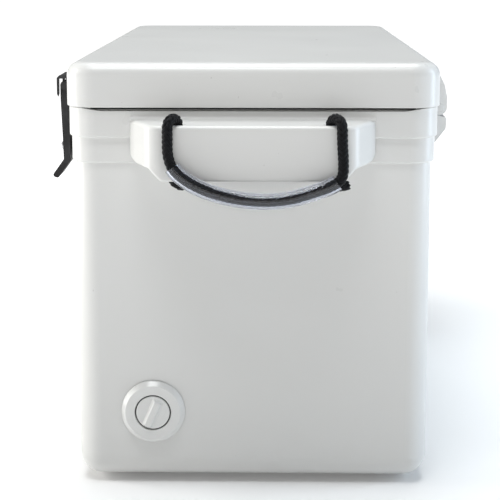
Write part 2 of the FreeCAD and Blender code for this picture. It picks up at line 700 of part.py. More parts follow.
def make_wheels():
    """Two wheels on one steel axle, with bushes, washers and press-on caps."""
    washers = []
    caps = []
    half = size.wheel_width / 2
    gap = size.running_gap
    for side, word in ((-1, "left"), (1, "right")):
        mid = side * size.wheel_place
        hub_outline = [
            (size.bush_radius, mid - half + 1), (size.bush_radius + 9, mid - half + 1),
            (size.bush_radius + 13, mid - 5), (size.hub_radius - 12, mid - 5),
            (size.hub_radius - 6, mid - half + 2), (size.hub_radius, mid - half + 2),
            (size.hub_radius, mid + half - 2), (size.hub_radius - 6, mid + half - 2),
            (size.hub_radius - 12, mid + 5), (size.bush_radius + 13, mid + 5),
            (size.bush_radius + 9, mid + half - 1), (size.bush_radius, mid + half - 1)]
        hub = turned(f"{word}_hub_blank", "x", (axle_y, axle_z), hub_outline)
        windows = []
        for step in range(HUB_WINDOWS):
            angle = 2 * math.pi * (step + 0.5) / HUB_WINDOWS
            reach = (size.hub_radius + size.bush_radius) / 2 + 1
            windows.append(rod(f"{word}_hub_window_{step}", "x", size.hub_window_radius,
                               (axle_y + reach * math.cos(angle), axle_z + reach * math.sin(angle)),
                               mid - half - 5, mid + half + 5))
        keep(cut(f"{word}_wheel_shape", hub, *windows), f"{word}_wheel")
        keep(make_tyre(word, mid, half), f"{word}_tyre")
        keep(turned(f"{word}_bush_shape", "x", (axle_y, axle_z), [
            (size.axle_radius + gap, mid - half + 1), (size.bush_radius, mid - half + 1),
            (size.bush_radius, mid + half - 1), (size.axle_radius + gap, mid + half - 1)]),
            f"{word}_wheel_bush")
        start, end = sorted((side * (size.well_side + 0.3), side * (size.wheel_place - half + 0.2)),
                            key=float)
        washers.append(turned(f"{word}_washer", "x", (axle_y, axle_z), [
            (size.axle_radius, start), (size.washer_radius, start), (size.washer_radius, end),
            (size.axle_radius, end)]))
        start, end = sorted((side * (size.wheel_place + half - 0.4),
                             side * (size.wheel_place + half + 6)), key=float)
        rim, crown = (start, end) if side > 0 else (end, start)
        caps.append(turned(f"{word}_cap", "x", (axle_y, axle_z), [
            (size.axle_radius, rim), (size.axle_cap_radius, rim),
            (size.axle_cap_radius, crown - side * 2.5), (size.axle_cap_radius - 3, crown), (0, crown),
            (0, crown - side * 2), (size.axle_radius, crown - side * 2)]))
    axle_end = size.wheel_place + half + 4
    keep(rod("axle_shape", "x", size.axle_radius, (axle_y, axle_z), -axle_end, axle_end), "axle")
    keep(group("axle_washers_shape", *washers), "axle_washers")
    keep(group("axle_caps_shape", *caps), "axle_caps")


def make_tyre(word, mid, half):
    """A solid rubber tyre with a crowned tread cut by cross grooves."""
    tread = size.wheel_radius
    ring = turned(f"{word}_tyre_ring", "x", (axle_y, axle_z), [
        (size.hub_radius, mid - half), (tread - 4, mid - half), (tread - 1, mid - half + 4),
        (tread, mid - half + 10), (tread, mid + half - 10), (tread - 1, mid + half - 4),
        (tread - 4, mid + half), (size.hub_radius, mid + half)])
    grooves = []
    for step in range(TREAD_GROOVES):
        angle = 2 * math.pi * (step + 0.5) / TREAD_GROOVES
        reach = float(tread) + 0.5
        groove = box(f"{word}_tyre_groove_{step}", (-30, -2, -3), (30, 2, 3))
        groove.setExpression("Placement.Base.x", None)
        groove.setExpression("Placement.Base.y", None)
        groove.setExpression("Placement.Base.z", None)
        turn = FreeCAD.Rotation(FreeCAD.Vector(1, 0, 0), math.degrees(angle) - 90)
        centre = FreeCAD.Vector(float(mid), float(axle_y) + reach * math.cos(angle),
                                float(axle_z) + reach * math.sin(angle))
        groove.Placement = FreeCAD.Placement(centre + turn.multVec(FreeCAD.Vector(-30, -2, -3)), turn)
        grooves.append(groove)
    return cut(f"{word}_tyre_shape", ring, *grooves)


# ---------------------------------------------------------------- latches

def make_latch(word, sign):
    """One rubber draw latch: lid bracket, pin, strap with a pull tab, stud and body keeper."""
    place = sign * size.latch_place
    half = size.latch_width / 2
    strap_half = size.latch_strap_width / 2
    side = -size.lid_width / 2
    pin_x = -size.latch_pin_x
    pin_z = size.latch_pin_z
    plate = size.latch_plate
    base = prism(f"{word}_bracket_base", "y",
                 [(side, pin_z - 12), (side - plate, pin_z - 12), (side - plate, pin_z + 9),
                  (side - 20.5, pin_z + 9), (side - 22.5, pin_z + 13), (side, pin_z + 13.5)],
                 place - half, place + half, {1.5: [1, 4]})
    cheeks = []
    for edge_sign in (-1, 1):
        outer = place + edge_sign * half
        inner = place + edge_sign * (strap_half + 1)
        low, high = sorted((inner, outer), key=float)
        lip = prism(f"{word}_cheek_lip_{edge_sign}", "y",
                    [(side - 16, pin_z + 9), (side - 21.1, pin_z + 9), (side - 21.3, pin_z - 10),
                     (side - 22.6, pin_z - 13.5), (side - 24, pin_z - 10), (side - 24, pin_z + 10),
                     (side - 21, pin_z + 13), (side - 16, pin_z + 13.2)], low, high)
        lug = prism(f"{word}_cheek_lug_{edge_sign}", "y",
                    [(side - 2, pin_z - 10), (side - 2, pin_z + 5.5), (pin_x, pin_z + 5.5),
                     (pin_x - 5.5, pin_z + 3), (pin_x - 5.5, pin_z - 3), (pin_x, pin_z - 5.5)],
                    low, high, {2.4: [3, 4]})
        cheeks.extend([lip, lug])
    bracket_bore = rod(f"{word}_bracket_bore", "y", size.latch_pin_radius, (pin_x, pin_z),
                       place - half - 2, place + half + 2)
    spread = size.latch_lid_screw_spacing / 2
    screw_holes = [rod(f"{word}_bracket_hole_{n}", "x", size.screw_radius,
                       (place + n * spread, pin_z + 1), side - 5, side + 5) for n in (-1, 1)]
    keep(cut(f"{word}_latch_bracket_shape", fused(f"{word}_bracket_solid", base, *cheeks),
             bracket_bore, *screw_holes), f"{word}_latch_bracket")
    keep(rod(f"{word}_latch_pin_shape", "y", size.latch_pin_radius, (pin_x, pin_z),
             place - half - 1, place + half + 1), f"{word}_latch_pin")
    keep(make_strap(word, place, strap_half, pin_x, pin_z), f"{word}_latch_strap")
    make_stud_and_keeper(word, place, pin_x)


def make_strap(word, place, half, pin_x, pin_z):
    """The strap: a round eye on the pin, a flat limb and a tab that flares out for the fingers."""
    knee = size.stud_height - 15
    limb = prism(f"{word}_strap_limb", "y",
                 [(pin_x + 5.5, pin_z), (pin_x + 4.5, knee - 2), (pin_x - 11.5, knee - 24),
                  (pin_x - 19, knee - 21), (pin_x - 4, knee), (pin_x - 4.5, size.stud_height + 9),
                  (pin_x - 6.4, pin_z - 16), (pin_x - 6.4, pin_z)],
                 place - half, place + half, {3.0: [2, 3]})
    eye = rod(f"{word}_strap_eye", "y", size.latch_eye_radius, (pin_x, pin_z),
              place - half, place + half)
    bore = rod(f"{word}_strap_bore", "y", size.latch_pin_radius + size.running_gap, (pin_x, pin_z),
               place - half - 2, place + half + 2)
    stud_hole = rod(f"{word}_strap_stud_hole", "x", size.stud_neck_radius, (place, size.stud_height),
                    pin_x - 20, pin_x + 20)
    return cut(f"{word}_latch_strap_shape", fused(f"{word}_strap_solid", limb, eye), bore, stud_hole)


def make_stud_and_keeper(word, place, pin_x):
    """A steel stud through the strap; its ball rests in front of a keeper plate with two ears."""
    height = size.stud_height
    outside = pin_x - 4.6
    inside = pin_x + 5.2
    keep(turned(f"{word}_latch_stud_shape", "x", (place, height), [
        (0, outside - 5), (3, outside - 4.7), (5.4, outside - 3.2), (5.8, outside - 1.2),
        (5.8, outside), (size.stud_neck_radius, outside),
        (size.stud_neck_radius, inside), (5.4, inside + 0.3), (6.2, inside + 2),
        (5.4, inside + 4.5), (3, inside + 6), (0, inside + 6)]), f"{word}_latch_stud")
    wall = -size.lower_band_half_width
    half = size.keeper_width / 2
    plate = box(f"{word}_keeper_plate", (wall - size.keeper_plate, place - half, height - 12),
                (wall, place + half, height + 14))
    ears = [box(f"{word}_keeper_ear_{n}", (wall - 11, place + n * 11 - 3, height - 12),
                (wall, place + n * 11 + 3, height + 10)) for n in (-1, 1)]
    soft_ears = [rounded(f"{word}_keeper_ear_soft_{n}", ear,
                         (4, lambda edge: runs_along(edge, "y")
                          and edge.BoundBox.XMax < float(wall) - 6))
                 for n, ear in zip((-1, 1), ears)]
    floor = box(f"{word}_keeper_floor", (wall - 8, place - 12, height - 12),
                (wall, place + 12, height - 8.5))
    holes = [rod(f"{word}_keeper_hole_{n}", "x", size.screw_radius,
                 (place + n * size.latch_body_screw_spacing / 2, height), wall - 5, wall + 5)
             for n in (-1, 1)]
    keep(cut(f"{word}_latch_keeper_shape",
             fused(f"{word}_keeper_solid", plate, floor, *soft_ears), *holes),
         f"{word}_latch_keeper")


def side_screw(name, sign, x, y, z, length):
    """A pan head screw along X with a cross recess; sign is the side that its head faces."""
    inward = -sign
    shank = size.screw_radius
    ends = [(0, x + sign * 2), (2.2, x + sign * 1.7), (size.screw_head_radius, x), (shank, x),
            (shank, x + inward * (length - 2)), (1, x + inward * length),
            (0, x + inward * length)]
    blank = turned(name + "_blank", "x", (y, z), ends)
    start, end = sorted((x + sign * 3, x + sign * (2 - size.screw_slot_depth)), key=float)
    arm = size.screw_slot_reach
    wall = size.screw_slot_width / 2
    slots = [box(f"{name}_slot_{n}", (start, y - across, z - up), (end, y + across, z + up))
             for n, (across, up) in enumerate(((arm, wall), (wall, arm)))]
    return cut(name, blank, *slots)


def make_latch_screws():
    lid_side = -size.lid_width / 2
    band_side = -size.lower_band_half_width
    lid_screws = []
    body_screws = []
    for sign in (-1, 1):
        place = sign * size.latch_place
        for n in (-1, 1):
            lid_screws.append(side_screw(f"latch_lid_screw_{sign}_{n}", -1,
                                         lid_side - size.latch_plate,
                                         place + n * size.latch_lid_screw_spacing / 2,
                                         size.latch_pin_z + 1, size.latch_screw_length))
            body_screws.append(side_screw(f"latch_body_screw_{sign}_{n}", -1,
                                          band_side - size.keeper_plate,
                                          place + n * size.latch_body_screw_spacing / 2,
                                          size.stud_height, size.latch_screw_length))
    keep(group("latch_lid_screws_shape", *lid_screws), "latch_lid_screws")
    keep(group("latch_body_screws_shape", *body_screws), "latch_body_screws")


# ---------------------------------------------------------------- hinges

def make_hinge(word, sign):
    """One block hinge: a leaf on the lid, a leaf on the body, a steel pin and its end caps."""
    place = sign * size.hinge_place
    half = size.hinge_width / 2
    middle = size.hinge_centre_width / 2
    axis_x = size.hinge_axis_x
    axis_z = size.hinge_axis_z
    knuckle = size.hinge_knuckle_radius
    outer = axis_x + knuckle
    lid_side = size.lid_width / 2
    clear = knuckle + 0.8
    block_shape = prism(f"{word}_lid_leaf_block", "y",
                        [(lid_side, axis_z + 10.5), (lid_side, axis_z + 42), (lid_side + 7, axis_z + 42),
                         (outer - 3, axis_z + 28), (outer, axis_z + 14), (outer, axis_z + 0),
                         (axis_x, axis_z), (axis_x - 2, axis_z + 10.5)],
                        place - half, place + half, {6.0: [2, 3], 10.0: [4]})
    eye = rod(f"{word}_lid_leaf_eye", "y", knuckle, (axis_x, axis_z), place - half, place + half)
    middle_room = rod(f"{word}_lid_leaf_room", "y", clear, (axis_x, axis_z),
                      place - middle - 0.4, place + middle + 0.4)
    pin_hole = rod(f"{word}_lid_leaf_bore", "y", size.hinge_pin_radius, (axis_x, axis_z),
                   place - half - 5, place + half + 5)
    holes = counterbored_holes(f"{word}_lid_leaf", place, axis_z + size.hinge_lid_screw_rise, lid_side,
                               lid_side + size.hinge_lid_seat)
    keep(cut(f"{word}_hinge_lid_leaf_shape",
             fused(f"{word}_lid_leaf_solid", block_shape, eye), middle_room, pin_hole, *holes),
         f"{word}_hinge_lid_leaf")

    upper_side = size.upper_band_half_width
    lower_side = size.lower_band_half_width
    leaf = prism(f"{word}_body_leaf_block", "y",
                 [(upper_side, axis_z - 1), (upper_side, size.upper_band_bottom),
                  (lower_side, size.upper_band_bottom - 3), (lower_side, axis_z - 46),
                  (lower_side + 7, axis_z - 44), (outer - 1, axis_z - 26), (outer, axis_z - 14),
                  (outer - 1.5, axis_z - 11.5), (axis_x + 1, axis_z - 10.6),
                  (axis_x - 4, axis_z - 1)],
                 place - half, place + half, {6.0: [4, 5]})
    body_eye = rod(f"{word}_body_leaf_eye", "y", knuckle, (axis_x, axis_z),
                   place - middle, place + middle)
    rooms = [rod(f"{word}_body_leaf_room_{n}", "y", clear, (axis_x, axis_z), low, high)
             for n, low, high in ((-1, place - half - 5, place - middle),
                                  (1, place + middle, place + half + 5))]
    body_bore = rod(f"{word}_body_leaf_bore", "y", size.hinge_pin_radius + size.running_gap,
                    (axis_x, axis_z), place - half - 5, place + half + 5)
    body_holes = counterbored_holes(f"{word}_body_leaf", place, axis_z - size.hinge_body_screw_drop,
                                    lower_side, lower_side + size.hinge_body_seat)
    cleared = cut(f"{word}_body_leaf_cleared", leaf, *rooms)
    keep(cut(f"{word}_hinge_body_leaf_shape",
             fused(f"{word}_body_leaf_solid", cleared, body_eye), body_bore, *body_holes),
         f"{word}_hinge_body_leaf")
    inset = size.hinge_cap_depth
    keep(rod(f"{word}_hinge_pin_shape", "y", size.hinge_pin_radius, (axis_x, axis_z),
             place - half + inset, place + half - inset), f"{word}_hinge_pin")
    caps = [turned(f"{word}_hinge_cap_{n}", "y", (axis_x, axis_z), [
        (0, place + n * (half - inset)), (size.hinge_pin_radius, place + n * (half - inset)),
        (size.hinge_pin_radius, place + n * half), (size.hinge_pin_radius + 2, place + n * half),
        (size.hinge_pin_radius + 1.2, place + n * (half + 0.9)), (0, place + n * (half + 1.1))])
        for n in (-1, 1)]
    keep(group(f"{word}_hinge_caps_shape", *caps), f"{word}_hinge_caps")


def counterbored_holes(name, place, height, back, seat):
    """Two screw holes through a leaf, each with a round pocket that its screw's head sits in."""
    holes = []
    for n in (-1, 1):
        centre = (place + n * size.hinge_screw_spacing / 2, height)
        holes.append(rod(f"{name}_hole_{n}", "x", size.screw_radius, centre, back - 5, seat + 1))
        holes.append(rod(f"{name}_pocket_{n}", "x", size.screw_head_radius + 0.5, centre, seat,
                         seat + 30))
    return holes


def make_hinge_screws():
    lid_screws = []
    body_screws = []
    for sign in (-1, 1):
        place = sign * size.hinge_place
        for n in (-1, 1):
            y = place + n * size.hinge_screw_spacing / 2
            lid_screws.append(side_screw(f"hinge_lid_screw_{sign}_{n}", 1,
                                         size.lid_width / 2 + size.hinge_lid_seat,
                                         y, size.hinge_axis_z + size.hinge_lid_screw_rise,
                                         size.hinge_lid_seat + size.hinge_screw_bite))
            body_screws.append(side_screw(f"hinge_body_screw_{sign}_{n}", 1,
                                          size.lower_band_half_width + size.hinge_body_seat,
                                          y, size.hinge_axis_z - size.hinge_body_screw_drop,
                                          size.hinge_body_seat + size.hinge_screw_bite))
    keep(group("hinge_lid_screws_shape", *lid_screws), "hinge_lid_screws")
    keep(group("hinge_body_screws_shape", *body_screws), "hinge_body_screws")


# ---------------------------------------------------------------- rope handles

def rope_path(points):
    """Straight runs joined by tangent arcs, each as large as its two runs allow."""
    edges = []
    start = points[0]
    radii = []
    for before, here, after in zip(points, points[1:], points[2:]):
        incoming = here - before
        outgoing = after - here
        turn = incoming.getAngle(outgoing)
        reach = RUN_SHARE * min(incoming.Length, outgoing.Length)
        radii.append(reach / math.tan(turn / 2))
        arc_start = here - FreeCAD.Vector(incoming).normalize() * reach
        arc_end = here + FreeCAD.Vector(outgoing).normalize() * reach
        bisector = (arc_start + arc_end) * 0.5 - here
        centre = here + FreeCAD.Vector(bisector).normalize() * (radii[-1] / math.cos(turn / 2))
        middle = centre + (here - centre).normalize() * radii[-1]
        edges.append(Part.LineSegment(start, arc_start).toShape())
        edges.append(Part.Arc(arc_start, middle, arc_end).toShape())
        start = arc_end
    edges.append(Part.LineSegment(start, points[-1]).toShape())
    return Part.Wire(edges), radii


def tube_along(wire, radius, bore=0):
    """A round tube swept along a wire."""
    start = wire.Edges[0]
    place = start.valueAt(start.FirstParameter)
    along = start.tangentAt(start.FirstParameter)
    rings = []
    for size_of_ring in (radius, bore):
        if size_of_ring:
            circle = Part.Wire(Part.Circle(place, along, size_of_ring).toShape())
            rings.append(wire.makePipeShell([circle], True, False, 2))
    return rings[0] if len(rings) == 1 else rings[0].cut(rings[1])


# The hanging loop, seen from the end: across and up, from the left hole to the right one.
LOOP = [(-94.4, 430), (-94.8, 413), (-86, 396.5), (-68, 383), (-38.9, 371.1), (0.3, 363.9),
        (38.4, 365.1), (67.4, 373.8), (88.6, 381), (102, 389.7), (102.5, 409.5), (100.9, 429)]
LOOP_GAP = 1.4  # left between the swinging loop and the bends over the edge
LOOP_LEAN = 3.5  # how far the loop hangs out past the bends
LEAN_HEIGHT = 20.0  # the drop over which it does
RUN_SHARE = 0.45  # how much of its shorter run each arc of the rope takes
# The sleeve covers these of the loop's runs and arcs.
SLEEVE_FROM = 3
SLEEVE_TO = 17
KNOT_ROUND = 6


def make_rope_handle(word, sign):
    """One rope handle: tails with knots, the bends over the front edge, the loop and its sleeve."""
    front = size.upper_band_half_length + size.boss_reach
    hole_y = -float(front - size.rope_hole_inset)
    bend_y = hole_y - float(size.rope_bend_radius)
    hang_y = bend_y - float(size.rope_bend_radius)
    low_y = hang_y - LOOP_LEAN
    height = float(size.rope_bend_height)
    radius = float(size.rope_diameter) / 2
    turn_end = FreeCAD.Placement(FreeCAD.Vector(),
                                 FreeCAD.Rotation(FreeCAD.Vector(0, 0, 1), 180 if sign > 0 else 0))

    def node(label, shape):
        item = doc.addObject("Part::Feature", f"{word}_{label}_shape")
        item.Shape = shape
        item.Placement = turn_end
        keep(item, f"{word}_{label}")

    def hang(across, up):
        """A point of the loop; it leans out a little as it goes down, to clear the boss."""
        lean = min(1.0, (LOOP[0][1] - up) / LEAN_HEIGHT) if up < LOOP[-1][1] else 0.0
        return FreeCAD.Vector(across, hang_y + (low_y - hang_y) * lean, up)

    tails = []
    bends = []
    for hole_x, (top_x, loop_top) in ((-float(size.rope_hole_left), LOOP[0]),
                                      (float(size.rope_hole_right), LOOP[-1])):
        knot_z = float(size.boss_chin) - 1
        tail = Part.makeCylinder(radius, height - knot_z, FreeCAD.Vector(hole_x, hole_y, knot_z))
        knot = make_knot(FreeCAD.Vector(hole_x, hole_y, knot_z))
        end = rope_end(FreeCAD.Vector(hole_x, hole_y, knot_z))
        tails.append(tail.fuse([knot, end]) if hole_x > 0 else tail.fuse(knot))
        first = FreeCAD.Vector(hole_x, hole_y, height)
        last = FreeCAD.Vector(top_x, hang_y, height)
        across = (last - first) * 0.5
        top = (first + last) * 0.5 + FreeCAD.Vector(0, 0, across.Length)
        drop = FreeCAD.Vector(top_x, hang_y, loop_top + LOOP_GAP)
        wire = Part.Wire([Part.Arc(first, top, last).toShape(),
                          Part.LineSegment(last, drop).toShape()])
        bends.append(tube_along(wire, radius))
    node("rope_tails", Part.makeCompound(tails))
    node("rope_bends", Part.makeCompound(bends))

    wire, radii = rope_path([hang(*point) for point in LOOP])
    rope = tube_along(wire, radius)
    expected = math.pi * radius ** 2 * wire.Length
    print(word, "loop", round(wire.Length, 1), "mm, bend radii", [round(r) for r in radii],
          "volume ratio", round(rope.Volume / expected, 4))
    node("rope_loop", rope)
    grip_wire = sleeve_wire(wire)
    sleeve = tube_along(grip_wire, float(size.sleeve_diameter) / 2, float(size.sleeve_bore) / 2)
    node("grip_sleeve", sleeve)


def sleeve_wire(loop):
    """The stretch of the loop that the sleeve covers, from after one bend to the end of another."""
    return Part.Wire(loop.Edges[SLEEVE_FROM:SLEEVE_TO])


def make_knot(centre):
    """An overhand knot's outer shape: a fat rounded barrel under the lip."""
    radius = float(size.knot_radius)
    half = float(size.knot_height) / 2
    barrel = Part.makeCylinder(radius, 2 * half, centre - FreeCAD.Vector(0, 0, half))
    return barrel.makeFillet(KNOT_ROUND, [edge for edge in barrel.Edges if edge.Length > 3 * radius])


ROPE_END_DROP = 7.2
ROPE_END_LENGTH = 21
ROPE_END_RISE = 8  # degrees
ROPE_END_THINNER = 0.2
ROPE_END_ROUND = 1.5


def rope_end(knot_centre):
    """The short end of rope that sticks out sideways below a knot."""
    radius = float(size.rope_diameter) / 2 - ROPE_END_THINNER
    rise = math.radians(ROPE_END_RISE)
    start = knot_centre - FreeCAD.Vector(0, 0, ROPE_END_DROP)
    end = Part.makeCylinder(radius, ROPE_END_LENGTH, start,
                            FreeCAD.Vector(math.cos(rise), 0, math.sin(rise)))
    tip = max(end.Edges, key=lambda edge: edge.CenterOfMass.x)
    return end.makeFillet(ROPE_END_ROUND, [tip])


# ---------------------------------------------------------------- assembly

make_outer_shell()
make_inner_liner()
make_body_foam()
make_lid()
make_feet()
make_drain()
make_wheels()
for end_word, end_sign in (("near", -1), ("far", 1)):
    make_latch(end_word, end_sign)
    make_hinge(end_word, end_sign)
    make_rope_handle(end_word, end_sign)
make_latch_screws()
make_hinge_screws()
doc.recompute()

for item in doc.Objects:
    if "Invalid" in item.State or "Error" in item.State:
        raise RuntimeError(f"{item.Name} ({item.Label}) did not build: {item.State}")
for item in nodes:
    if item.Shape.isNull() or not item.Shape.isValid() or not item.Shape.Solids:
        raise RuntimeError(f"{item.Label} is not a valid solid")

os.makedirs("parts", exist_ok=True)
for item in nodes:
    item.Shape.exportStep(f"parts/{item.Label}.step")
print(len(nodes), "nodes written")
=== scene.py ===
import math

import bpy
import numpy as np
from mathutils import Matrix, Vector
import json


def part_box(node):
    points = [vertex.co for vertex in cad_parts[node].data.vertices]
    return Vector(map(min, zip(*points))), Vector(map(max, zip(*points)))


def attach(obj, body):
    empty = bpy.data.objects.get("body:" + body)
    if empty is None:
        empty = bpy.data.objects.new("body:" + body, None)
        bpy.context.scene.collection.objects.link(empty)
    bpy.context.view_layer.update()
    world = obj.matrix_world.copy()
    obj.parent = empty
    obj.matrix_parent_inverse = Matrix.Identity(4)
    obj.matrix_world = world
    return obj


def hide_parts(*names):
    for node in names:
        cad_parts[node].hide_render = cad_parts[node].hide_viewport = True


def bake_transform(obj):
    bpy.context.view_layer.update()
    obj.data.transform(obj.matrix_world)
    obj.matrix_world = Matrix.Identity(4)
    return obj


# Hard-sided cooler on two wheels. Metres, +Z up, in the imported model's frame: -Y is the end with
# the drain, +Y the end with the wheels, -X the latch side and +X the hinge side.

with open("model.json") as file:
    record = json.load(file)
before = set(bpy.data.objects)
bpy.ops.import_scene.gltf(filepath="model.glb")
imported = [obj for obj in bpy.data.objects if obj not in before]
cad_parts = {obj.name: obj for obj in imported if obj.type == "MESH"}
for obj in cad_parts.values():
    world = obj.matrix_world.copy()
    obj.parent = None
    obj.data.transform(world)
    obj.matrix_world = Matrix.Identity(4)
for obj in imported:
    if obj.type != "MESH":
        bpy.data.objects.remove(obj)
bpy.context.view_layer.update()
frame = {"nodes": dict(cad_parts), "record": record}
FULL_TURN = 2 * math.pi
HALF_TURN = Matrix.Rotation(math.pi, 4, "Z")
# The far end is the near end turned round, so each rope and sleeve is made once for each.
ENDS = (("near", Matrix.Identity(4)), ("far", HALF_TURN))


# ---------------------------------------------------------------- camera

CAMERA_PLACE = (0.0228, -1.9589, 0.6413)
CAMERA_DOWN = 8.387
CAMERA_TO_THE_LEFT = 0.957
CAMERA_LENS = 96.84
CAMERA_SENSOR = 36
CAMERA_SHIFT = -0.2


def make_camera():
    data = bpy.data.cameras.new("camera")
    data.sensor_width = CAMERA_SENSOR
    data.lens = CAMERA_LENS
    data.shift_y = CAMERA_SHIFT
    camera = bpy.data.objects.new("camera", data)
    camera.location = CAMERA_PLACE
    camera.rotation_euler = (math.radians(90 - CAMERA_DOWN), 0, math.radians(CAMERA_TO_THE_LEFT))
    bpy.context.scene.collection.objects.link(camera)
    bpy.context.scene.camera = camera


make_camera()


# ---------------------------------------------------------------- mesh helpers

def add_object(name, data):
    item = bpy.data.objects.new(name, data)
    bpy.context.scene.collection.objects.link(item)
    return item


def mesh_object(name, points, faces, sharp_over=None):
    """A smooth-shaded mesh; edges that turn by more than sharp_over degrees stay sharp."""
    mesh = bpy.data.meshes.new(name)
    mesh.from_pydata([tuple(point) for point in points], [], faces)
    mesh.validate()
    for face in mesh.polygons:
        face.use_smooth = True
    if sharp_over:
        mesh.set_sharp_from_angle(angle=math.radians(sharp_over))
    return add_object(name, mesh)


def looped_faces(rings, around):
    """Faces of a ring-shaped skin whose last ring joins its first."""
    faces = []
    for ring in range(rings):
        after = (ring + 1) % rings
        for step in range(around):
            beside = (step + 1) % around
            faces.append((ring * around + step, ring * around + beside,
                          after * around + beside, after * around + step))
    return faces


def tube_faces(first, rings, around):
    """Faces of a closed tube whose rings start at point number first."""
    faces = []
    for ring in range(rings - 1):
        for step in range(around):
            a = first + ring * around + step
            b = first + ring * around + (step + 1) % around
            faces.append((a, b, b + around, a + around))
    last = first + (rings - 1) * around
    faces.append(tuple(reversed(range(first, first + around))))
    faces.append(tuple(range(last, last + around)))
    return faces


NEARLY_PARALLEL = 0.1


def frames_along(line):
    """Two directions square to a line at each of its points, turning as little as possible."""
    tangents = np.gradient(line, axis=0)
    tangents /= np.linalg.norm(tangents, axis=1)[:, None]
    side = np.cross(tangents[0], (0.0, 1.0, 0.0))
    if np.linalg.norm(side) < NEARLY_PARALLEL:
        side = np.cross(tangents[0], (1.0, 0.0, 0.0))
    sides = []
    for tangent in tangents:
        side = side - tangent * (side @ tangent)
        side = side / np.linalg.norm(side)
        sides.append(side)
    sides = np.array(sides)
    return sides, np.cross(tangents, sides)


FEWEST_POINTS = 4


def evenly(line, step):
    """The line again with points a step apart, and how far along it each point is."""
    gaps = np.linalg.norm(np.diff(line, axis=0), axis=1)
    along = np.concatenate([[0], np.cumsum(gaps)])
    places = np.linspace(0, along[-1], max(FEWEST_POINTS, round(along[-1] / step) + 1))
    return np.stack([np.interp(places, along, line[:, k]) for k in range(3)], axis=1), places


def turned_about(line, turn):
    return np.array([turn @ Vector(point) for point in line])


ROUTE_RESOLUTION = 16


def smooth_line(points):
    """Points along one open smooth curve steered by the given points."""
    curve = bpy.data.curves.new("route", "CURVE")
    curve.dimensions = "3D"
    curve.resolution_u = ROUTE_RESOLUTION
    spline = curve.splines.new("NURBS")
    spline.points.add(len(points) - 1)
    for target, point in zip(spline.points, points):
        target.co = (*point, 1)
    spline.order_u = 3
    spline.use_endpoint_u = True
    holder = bpy.data.objects.new("route", curve)
    mesh = bpy.data.meshes.new_from_object(holder)
    line = np.array([vertex.co for vertex in mesh.vertices], float)
    bpy.data.objects.remove(holder)
    bpy.data.curves.remove(curve)
    bpy.data.meshes.remove(mesh)
    return line


# ---------------------------------------------------------------- rope handles

ROPE_RADIUS = 0.006
ROPE_STEP = 0.0015
# One handle's rope from knot to knot: up through the left hole, over the front edge of the boss,
# along the hanging loop and back through the right hole.
ROPE_ROUTE = [
    (-0.084, -0.452, 0.384), (-0.084, -0.452, 0.398), (-0.084, -0.452, 0.414),
    (-0.084, -0.452, 0.434), (-0.084, -0.452, 0.4557), (-0.0944, -0.474, 0.4557),
    (-0.0944, -0.474, 0.434), (-0.0944, -0.4755, 0.4155), (-0.088, -0.4775, 0.3985),
    (-0.068, -0.4775, 0.383), (-0.0389, -0.4775, 0.3711), (0.0003, -0.4775, 0.3639),
    (0.0384, -0.4775, 0.3651), (0.0674, -0.4775, 0.3738), (0.0886, -0.4775, 0.381),
    (0.102, -0.4775, 0.3897), (0.1025, -0.476, 0.4095), (0.1009, -0.474, 0.431),
    (0.1009, -0.474, 0.456), (0.089, -0.452, 0.456), (0.089, -0.452, 0.434),
    (0.089, -0.452, 0.414), (0.089, -0.452, 0.398), (0.089, -0.452, 0.384)]

# The braid: two sets of strands wound opposite ways. Sizes across are shares of the rope's radius.
STRANDS_EACH_WAY = 6
STRAND_LAY = 0.034
STRAND_STEP = 0.0014
STRAND_CORNERS = 8
STRAND_MIDDLE = 0.76
STRAND_WEAVE = 0.11
STRAND_HALF_THICK = 0.18
STRAND_HALF_WIDE = 0.33
WEAVE_START = 0.5
CORE_RADIUS = 0.72
CORE_CORNERS = 12


def strand_points(line, places, sides, normals, radius, way, strand):
    """Rings of one flattened strand that goes round the rope, over and under those it crosses."""
    crossing = STRAND_LAY / (2 * STRANDS_EACH_WAY)
    angle = way * FULL_TURN * places / STRAND_LAY + FULL_TURN * strand / STRANDS_EACH_WAY
    weave = math.pi / 2 * (way * places / crossing + 2 * strand - WEAVE_START)
    reach = radius * (STRAND_MIDDLE + way * STRAND_WEAVE * np.cos(weave))
    outward = sides * np.cos(angle)[:, None] + normals * np.sin(angle)[:, None]
    centres = line + outward * reach[:, None]
    along = np.gradient(centres, axis=0)
    along /= np.linalg.norm(along, axis=1)[:, None]
    across = np.cross(along, outward)
    points = []
    for centre, out, wide in zip(centres, outward, across):
        for corner in range(STRAND_CORNERS):
            turn = FULL_TURN * corner / STRAND_CORNERS
            points.append(centre + radius * (out * STRAND_HALF_THICK * math.cos(turn)
                                             + wide * STRAND_HALF_WIDE * math.sin(turn)))
    return points


def braided(name, route, radius):
    """A braided rope along a route: a core, and strands that pass two over and two under."""
    line, places = evenly(route, STRAND_STEP)
    sides, normals = frames_along(line)
    points = []
    faces = []
    for way in (1, -1):
        for strand in range(STRANDS_EACH_WAY):
            faces += tube_faces(len(points), len(line), STRAND_CORNERS)
            points += strand_points(line, places, sides, normals, radius, way, strand)
    faces += tube_faces(len(points), len(line), CORE_CORNERS)
    for centre, side, normal in zip(line, sides, normals):
        for corner in range(CORE_CORNERS):
            turn = FULL_TURN * corner / CORE_CORNERS
            points.append(centre + CORE_RADIUS * radius * (side * math.cos(turn)
                                                           + normal * math.sin(turn)))
    return mesh_object(name, points, faces)


KNOT_ROPE_RADIUS = 0.0056
KNOT_TURNS = 1.5
KNOT_STEPS = 12
KNOT_START_ANGLE = -1.9
KNOT_COIL = 0.0056
KNOT_TOP = 0.391
KNOT_BOTTOM = 0.3765
KNOT_LEAD = 0.004
KNOT_TUCK = 0.003
